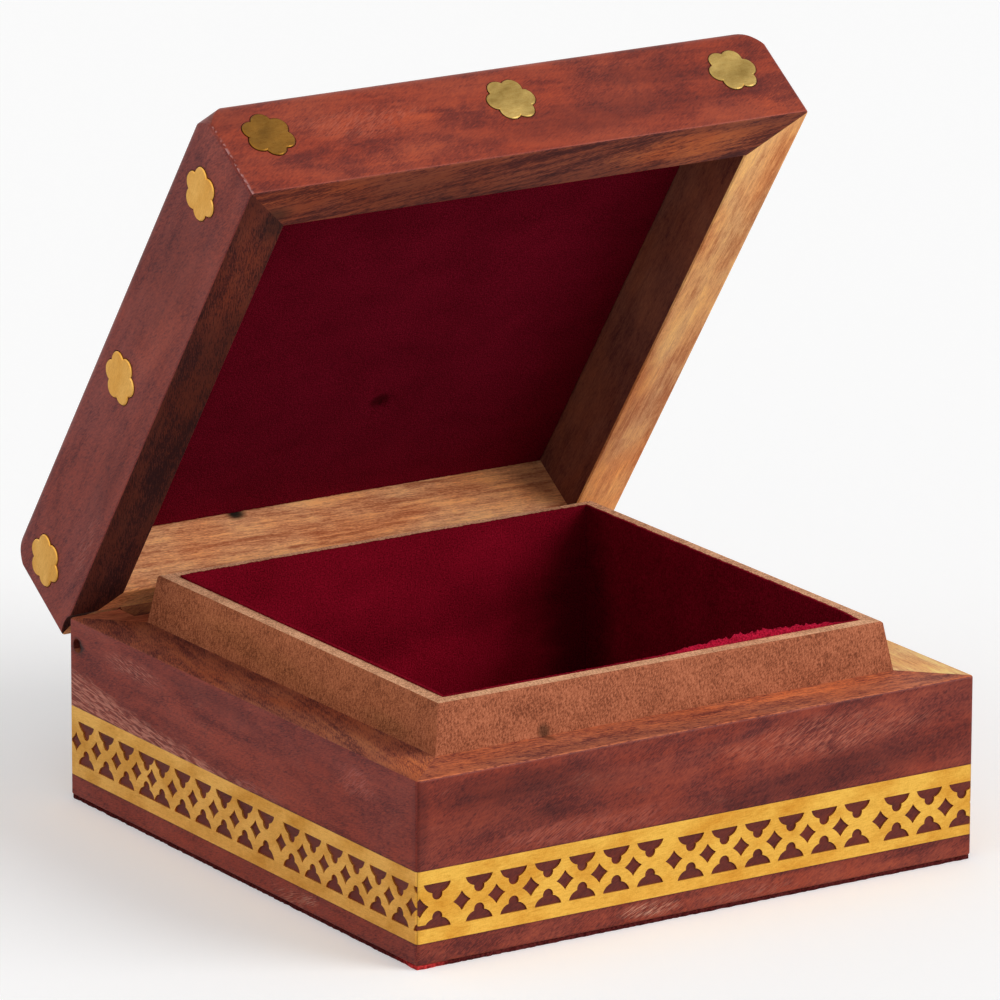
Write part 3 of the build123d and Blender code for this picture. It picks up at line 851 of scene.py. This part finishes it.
def sink_ends(piece, width, top, rise_mm):
    """Lowers a lining's upper edge to its height at each end, over the last 6 mm. The cloth
    gives way down to 3 mm under the edge."""
    left_mm, middle_mm, right_mm = rise_mm
    for vertex in piece.data.vertices:
        near_end = max(0.0, 1 + (abs(vertex.co.x) - width / 2) / (6 * MM))
        near_top = max(0.0, 1 + (vertex.co.z - top) / (3 * MM))
        sink_mm = middle_mm - (left_mm if vertex.co.x < 0 else right_mm)
        vertex.co.z -= sink_mm * MM * near_end * near_top


def tease_edge(piece, top):
    """Teases the front lining's edge up and forward, as far as 21 mm to each side of a place
    23 mm right of the middle, in its uppermost 2 mm."""
    draw = random.Random(5)
    for vertex in piece.data.vertices:
        along = (vertex.co.x - 23 * MM) / (21 * MM)
        rise = max(0.0, 1 - along * along) * max(0.0, vertex.co.z - top + 2 * MM)
        vertex.co.z += rise * draw.uniform(0.3, 0.75)
        vertex.co.y += rise * draw.uniform(0.0, 0.3)


class BOX_OT_case_velvet(bpy.types.Operator):
    """Lines the case with five pieces of velvet"""
    bl_idname = "box.case_velvet"
    bl_label = "Case velvet"

    def execute(self, context):
        look = context.scene.box_cloth
        cloth = velvet("case_cotton_velvet", look.velvet, marks=(ovals(
            # Painted shade in the back right corner, where the right lining shadows the back one
            ((46, 46, 18), (13, 13, 44), 0, 0.85, (0.36, 0.32, 0.36)),
            # Painted light low on the back lining, lifting it where the lamp leaves it in shade
            ((16, 46.6, 14), (36, 6, 18), 0, 0.9, (1.6, 1.6, 1.6)),
            # Painted highlight along the front lining's teased upper edge
            ((23, -46.6, 47.4), (32, 6, 3.4), 0, 1.0, (2.2, 3.2, 3.0))),))
        low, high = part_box("velvet_front")
        thick = high.y - low.y
        corner_gap = 0.2 * MM
        for index, side in enumerate(SIDE_TURN):
            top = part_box("liner_front")[1].z + LINING_RISE_MM[side][1] * MM
            height = top - low.z
            width = high.x - low.x - (0 if side in ("front", "back") else 2 * thick)
            piece = cloth_panel(
                f"lining_{side}", (width - corner_gap, height),
                (0, low.y + thick / 2, low.z + height / 2), (math.radians(90), 0, 0),
                cells=(190, 84), thickness=0.75 * thick, wave=look.ripple, ragged=look.ragged,
                seed=index)
            sink_ends(piece, width, top, LINING_RISE_MM[side])
            if side == "front":
                tease_edge(piece, top)
            piece.matrix_world = Matrix.Rotation(-math.radians(SIDE_TURN[side]), 4, "Z")
            bpy.ops.object.transform_apply(location=True, rotation=True, scale=True)
            piece.data.materials.append(cloth)
            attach(piece, "base")
            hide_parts(f"velvet_{side}")
        low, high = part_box("velvet_floor")
        side_length = high.x - low.x
        piece = cloth_panel(
            "lining_floor", (side_length, side_length), (0, 0, (low.z + high.z) / 2), (0, 0, 0),
            cells=(120, 120), thickness=0.7 * thick, wave=look.ripple, ragged=look.ragged, seed=9)
        piece.data.materials.append(cloth)
        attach(piece, "base")
        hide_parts("velvet_floor")
        return {"FINISHED"}


class BOX_OT_bottom_felt(bpy.types.Operator):
    """Glues the felt under the case, its cut edge a little fuzzy"""
    bl_idname = "box.bottom_felt"
    bl_label = "Bottom felt"

    def execute(self, context):
        look = context.scene.box_cloth
        low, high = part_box("bottom_felt")
        side_length = high.x - low.x
        felt = velvet("bottom_pressed_felt", look.felt, pile_mm=0.6, sheen=0.1, marks=(ovals(
            # The oval lightens the felt at the front left corner as painted light
            ((-CASE_HALF_MM, -CASE_HALF_MM, 0), (9, 9, FAR), 0, 1.0, (6.0, 3.0, 3.0))),))
        piece = cloth_panel(
            "felt_sheet", (side_length, side_length), (0, 0, (low.z + high.z) / 2), (0, 0, 0),
            cells=(180, 180), thickness=0.95 * (high.z - low.z), wave=0.05 * MM,
            ragged=0.15 * MM, seed=12)
        piece.data.materials.append(felt)
        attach(piece, "base")
        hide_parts("bottom_felt")
        return {"FINISHED"}


class BOX_OT_hinge_nails(bpy.types.Operator):
    """Finishes the two headless nails of the hinge"""
    bl_idname = "box.hinge_nails"
    bl_label = "Hinge nails"

    def execute(self, context):
        steel = drawn_steel("nail_drawn_iron")
        for end in ("left", "right"):
            paint(f"hinge_pin_{end}", (steel,))
        return {"FINISHED"}


# Lid

def lid_face(normal, centre):
    """0 the oiled outside, 1 the rim, 2 the inside."""
    if normal.z < -LOOKS_THERE:
        return 1
    return 2 if normal.y > LOOKS_THERE else 0


def worn_edge(tree, at, hair):
    """Pale chips along the upright edge between the lid's front and left side."""
    along = add(tree, "SeparateXYZ", {"Vector": at}).outputs["X"]
    edge = add(tree, "MapRange", {
        "Value": along, "From Min": 0.35 - CASE_HALF_MM, "From Max": 0.75 - CASE_HALF_MM,
        "To Min": 1.0, "To Max": 0.0,
    })
    chips = add(tree, "MapRange", {
        "Value": streaks(tree, at, 0.8, 1.0, (0, 0), 6, 3), "From Min": 0.46, "From Max": 0.56,
        "To Max": 0.55,
    })
    yield add(tree, "Math", {"operation": "MULTIPLY", 0: edge, 1: chips}), linear("#C79A98"), "MIX"


LID_MARKS = {
    "front": (ovals(
        ((20, 0, 44), (38, FAR, 6), 3, 0.75, DEEP),
        ((34, 0, 52), (24, FAR, 4), -6, 0.6, DEEP),
        ((-26, 0, 50), (30, FAR, 5), -2, 0.5, BRIGHT),
        ((-28, 0, 41), (18, FAR, 3.5), 8, 0.4, BRIGHT),
        ((57, 0, 41), (9, FAR, 5), 0, 0.6, BRIGHT),
        ((-59, 0, 56), (9, FAR, 5), 0, 0.4, DEEP),
    ), scuffs(((-32, 0, 51), (18, FAR, 6), 34, 0.35, "#C06A54")), worn_edge),
    "left": (ovals(
        ((-26, 0, 43), (16, FAR, 5), -4, 0.4, DEEP),
        ((14, 0, 45), (20, FAR, 5), -14, 0.5, BRIGHT),
        ((60, 0, 50), (6, FAR, 10), -20, 0.6, BRIGHT),
        ((27, 0, 49), (32, FAR, 14), 0, 0.9, (0.86, 0.77, 0.70)),
        ((52, 0, 40), (16, FAR, 4), 0, 0.35, BRIGHT),
    ), scuffs(((-40, 0, 41), (14, FAR, 3), -12, 0.35, "#A86A60"))),
}


class BOX_OT_lid_rails(bpy.types.Operator):
    """Finishes the lid's four mitred rosewood rails and the hinge rail"""
    bl_idname = "box.lid_rails"
    bl_label = "Lid rails"

    def execute(self, context):
        look = context.scene.box_wood
        rims = {
            "front": dict(
                tone=look.dark_rim, lean=(0, 6), fibre_lean=(0, 16), figure=1.3, vein=4.0,
                fibre=1.35, marks=(ovals(
                    ((42, -58, 0), (28, 6, FAR), 5, 0.9, (2.0, 2.15, 1.4)),
                    ((-48, -61, 0), (20, 3, FAR), 6, 0.75, (1.45, 1.5, 1.1)),
                    ((5, -54, 0), (40, 3, FAR), 4, 0.5, DEEP),
                    ((-24, -57, 0), (26, 7, FAR), 0, 0.6, (0.70, 0.74, 0.80)),
                    ((-56, -56, 0), (6, 3.4, FAR), 0, 0.9, (0.36, 0.46, 0.50))),)),
            "left": dict(
                tone=look.darkest_rim, lean=(0, 3), fibre_lean=(0, 16), figure=1.7, vein=2.5,
                fibre=2.2, marks=(ovals(
                    ((42, -58, 0), (26, 9, FAR), 0, 0.9, (1.9, 1.8, 1.5)),
                    ((54, -55, 0), (7, 5, FAR), 0, 0.9, (0.42, 0.50, 0.52))),)),
            "right": dict(
                tone=look.sapwood, lean=(0, -2), fibre_lean=(0, -4), figure=0.9, vein=1.6,
                fibre=0.5, shade=RUDDY, marks=(ovals(
                    ((22, -53, 0), (34, 4, FAR), 0, 0.7, (0.78, 0.66, 0.58)),
                    ((20, -58, 0), (30, 9, FAR), 0, 0.7, (0.84, 0.82, 0.96)),
                    ((-48, -58, 0), (24, 7, FAR), 0, 0.5, (1.18, 1.25, 1.3))),)),
            "back": dict(
                tone=look.raw, lean=(0, 3), fibre_lean=(0, 8), figure=0.6, vein=1.6, fibre=1.0,
                shade=RUDDY),
        }
        knot_and_shade = ovals(
            ((19.9, 0, 51.2), (3, FAR, 1.9), 0, 1.0, (0.10, 0.12, 0.12)),
            ((20.3, 0, 51.6), (1.6, FAR, 1.6), 0, 1.0, (0.2, 0.2, 0.2)),
            ((-10, 0, 44.5), (18, FAR, 2.4), 0, 0.35, RUDDY),
            # Painted shade at the back rail's right end, beside the right rail
            ((-50, 0, 47), (8, FAR, 9), 0, 0.7, (0.5, 0.45, 0.5)))
        for index, side in enumerate(SIDE_TURN):
            front, back = side == "front", side == "back"
            outside = rosewood(
                f"lid_{side}_oiled_rosewood", look.lid_front if front else look.lid_sides,
                side, True, lean=(-3, 0) if front else (-4, 0),
                fibre_lean=(28, 6) if front else (-20, 8), seed=index + 30,
                figure=1.0 if front else 0.7, fibre=0.65 if front else 0.9,
                marks=LID_MARKS.get(side, ()))
            rim = rosewood(f"lid_{side}_rim_rosewood", side=side, on_lid=True, seed=index + 50,
                           gloss=0.65, **rims[side])
            inside = rosewood(
                f"lid_{side}_inside_rosewood", look.raw if back else look.inside, side, True,
                lean=(1, 0), fibre_lean=(3, 0), seed=index + 60, figure=0.7,
                vein=3.0 if back else 1.0, fibre=0.9 if back else 0.6, gloss=0.7,
                marks=(knot_and_shade,) if back else (), shade=RUDDY if back else DARKER)
            paint(f"lid_{side}_rail", (outside, rim, inside), lid_face, side, True)
        paint("hinge_rail", (rosewood("hinge_rail_rosewood", look.hinge, "front", True, seed=70),))
        return {"FINISHED"}


class BOX_OT_lid_top(bpy.types.Operator):
    """Finishes the lid's top board"""
    bl_idname = "box.lid_top"
    bl_label = "Lid top board"

    def execute(self, context):
        board = rosewood(
            "top_board_oiled_rosewood", context.scene.box_wood.lid_front, "front", True,
            lean=(0, 3), fibre_lean=(0, 12), seed=80, figure=1.2)
        paint("lid_top_board", (board,))
        return {"FINISHED"}


class BOX_OT_lid_velvet(bpy.types.Operator):
    """Lines the lid with velvet, dented where it was once pressed"""
    bl_idname = "box.lid_velvet"
    bl_label = "Lid velvet"

    def execute(self, context):
        look = context.scene.box_cloth
        turn = to_front("front", True)
        places = [turn @ vertex.co for vertex in frame["nodes"]["lid_velvet"].data.vertices]
        low = Vector(min(place[axis] for place in places) for axis in range(3))
        high = Vector(max(place[axis] for place in places) for axis in range(3))
        side_length = high.x - low.x
        piece = cloth_panel(
            "lid_lining", (side_length, side_length), (0, 0, (low.z + high.z) / 2), (0, 0, 0),
            cells=(210, 210), thickness=0.7 * (high.z - low.z), wave=look.ripple,
            ragged=look.ragged, seed=15)
        dent, dent_radius, dent_depth = Vector(DENT_MM) * MM, 2.2 * MM, 0.5 * MM
        for vertex in piece.data.vertices:
            away = (vertex.co.xy - dent).length / dent_radius
            vertex.co.z += dent_depth * math.exp(-away * away)
        swing_open(piece)
        piece.data.materials.append(velvet(
            "lid_cotton_velvet", look.lid_velvet, on_lid=True, marks=(ovals(
                # The dark oval at the dent is crushed pile with painted shade in the dent
                ((*DENT_MM, 0), (3.2, 3.2, FAR), 0, 1.0, (0.34, 0.3, 0.3))),)))
        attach(piece, "lid")
        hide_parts("lid_velvet")
        return {"FINISHED"}


def left_rosette(normal, centre):
    """1 the left one of a side's three rosettes, 0 the others."""
    return int(centre.x < -30 * MM)


class BOX_OT_rosettes(bpy.types.Operator):
    """Finishes the brass rosettes, of which the front left one is the most tarnished"""
    bl_idname = "box.rosettes"
    bl_label = "Rosettes"

    def execute(self, context):
        look = context.scene.box_brass
        old = sheet_brass(
            "rosette_tarnished_brass", look.old_rosette, shaded(look.old_rosette, 0.45),
            dull=0.4, polish=0.26, on_lid=True, drift_mm=8, change=2.2)
        for side in SIDE_TURN:
            front = side == "front"
            gold = sheet_brass(
                f"rosette_{side}_rubbed_brass", look.rosette if front else look.side_rosette,
                look.front_tarnish if front else look.tarnish, dull=0.4, polish=0.32, side=side,
                on_lid=True, drift_mm=9, change=1.6)
            paint(f"flowers_{side}", (gold, old), left_rosette if front else None, side, True)
        return {"FINISHED"}


class BOX_OT_stone_inlay(bpy.types.Operator):
    """Finishes the stone inlay in the lid's top"""
    bl_idname = "box.stone_inlay"
    bl_label = "Stone inlay"

    def execute(self, context):
        look = context.scene.box_brass
        brass = sheet_brass("frame_rubbed_brass", look.strip, look.tarnish, on_lid=True)
        paint("inlay_brass_frame", (brass,))
        paint("inlay_resin_bed", (cast_resin("bed_dark_resin"),))
        for kind, make_stone in STONE_MAKERS.items():
            paint(f"{kind}_chips", (make_stone(),))
        return {"FINISHED"}


# Studio

def soft_sun(name, place, power, spread):
    """Even light from one direction, whose shadows are as soft as its spread in degrees."""
    bpy.ops.object.light_add(type="SUN", location=place)
    lamp = bpy.context.object
    lamp.name = name
    lamp.data.angle = math.radians(spread)
    lamp.data.energy = power
    lamp.rotation_euler = Vector(place).to_track_quat("Z", "Y").to_euler()


def matt_paper(look):
    """Matt white paper with a faint tooth, which looks a little lighter to the camera."""
    made, tree, surface, at = new_material("floor_matt_paper")
    tooth = add(tree, "TexNoise", {"Vector": at, "Scale": 0.4})
    tone = add(tree, "ValToRGB", {"Fac": tooth, "stops": (
        (0.3, shaded(look.floor, 0.985)), (0.7, shaded(look.floor, 1)))})
    lift = add(tree, "MapRange", {
        "Value": add(tree, "LightPath").outputs["Is Camera Ray"], "To Max": look.floor_lift,
    })
    fill(tree, surface, {
        "Base Color": tone, "Roughness": 0.95, "Specular IOR Level": 0.0,
        "Emission Color": (1, 1, 1, 1), "Emission Strength": lift,
    })
    return made


def white_room(scene, look):
    """A room that lights the box softly and that the camera, metal and glass see as white."""
    world = bpy.data.worlds.new("studio")
    scene.world = world
    world.use_nodes = True
    tree = world.node_tree
    tree.nodes.clear()
    seen = 0.0
    path = add(tree, "LightPath")
    for ray in ("Is Camera Ray", "Is Glossy Ray", "Is Transmission Ray"):
        seen = add(tree, "Math", {"operation": "MAXIMUM", 0: path.outputs[ray], 1: seen})
    level = add(tree, "MapRange", {"Value": seen, "To Min": look.ambient, "To Max": 1.0})
    glow = add(tree, "Background", {"Color": (1, 1, 1, 1), "Strength": level})
    add(tree, "OutputWorld", {"Surface": glow})


class BOX_OT_studio(bpy.types.Operator):
    """Lays the pale floor, sets the lamps and places the camera"""
    bl_idname = "box.studio"
    bl_label = "Studio"

    def execute(self, context):
        look = context.scene.box_studio
        bpy.ops.mesh.primitive_circle_add(
            vertices=64, radius=FLOOR_RADIUS, fill_type="NGON", location=(0, 0, -FLOOR_DROP))
        floor = named("floor")
        floor.data.materials.append(matt_paper(look))

        white_room(context.scene, look)
        soft_sun("key", KEY_FROM, look.key_power, spread=40)
        soft_sun("fill", FILL_FROM, look.fill_power, spread=90)

        bpy.ops.object.camera_add(location=CAMERA_PLACE)
        camera = bpy.context.object
        axes = Matrix((CAMERA_RIGHT, -CAMERA_DOWN, -CAMERA_AHEAD)).transposed()
        camera.rotation_euler = axes.to_euler()
        camera.data.sensor_width = 36.0
        camera.data.lens = look.focal_length
        camera.data.clip_end = 50.0
        context.scene.camera = camera
        context.scene.view_settings.view_transform = "Standard"
        return {"FINISHED"}


OPERATORS = (
    BOX_OT_case_walls, BOX_OT_brass_strips, BOX_OT_liner_boards, BOX_OT_case_velvet,
    BOX_OT_bottom_felt, BOX_OT_hinge_nails, BOX_OT_lid_rails, BOX_OT_lid_top,
    BOX_OT_lid_velvet, BOX_OT_rosettes, BOX_OT_stone_inlay, BOX_OT_studio,
)


class BOX_PT_pieces(bpy.types.Panel):
    """Lists the box's operators and settings"""
    bl_idname = "BOX_PT_pieces"
    bl_label = "Inlaid box"
    bl_space_type = "VIEW_3D"
    bl_region_type = "UI"
    bl_category = "Box"

    def draw(self, context):
        for operator in OPERATORS:
            self.layout.operator(operator.bl_idname)
        for name, group in SETTINGS.items():
            section = self.layout.box()
            for key in group.__annotations__:
                section.prop(getattr(context.scene, name), key)


def register():
    for group in SETTINGS.values():
        bpy.utils.register_class(group)
    for name, group in SETTINGS.items():
        setattr(bpy.types.Scene, name, bpy.props.PointerProperty(type=group))
    for item in (*OPERATORS, BOX_PT_pieces):
        bpy.utils.register_class(item)


def unregister():
    for item in (BOX_PT_pieces, *reversed(OPERATORS)):
        bpy.utils.unregister_class(item)
    for name, group in SETTINGS.items():
        delattr(bpy.types.Scene, name)
        bpy.utils.unregister_class(group)


def main():
    """Registers the classes and makes every piece in order."""
    register()
    for operator in OPERATORS:
        area, name = operator.bl_idname.split(".")
        getattr(getattr(bpy.ops, area), name)()


if __name__ == "__main__":
    main()
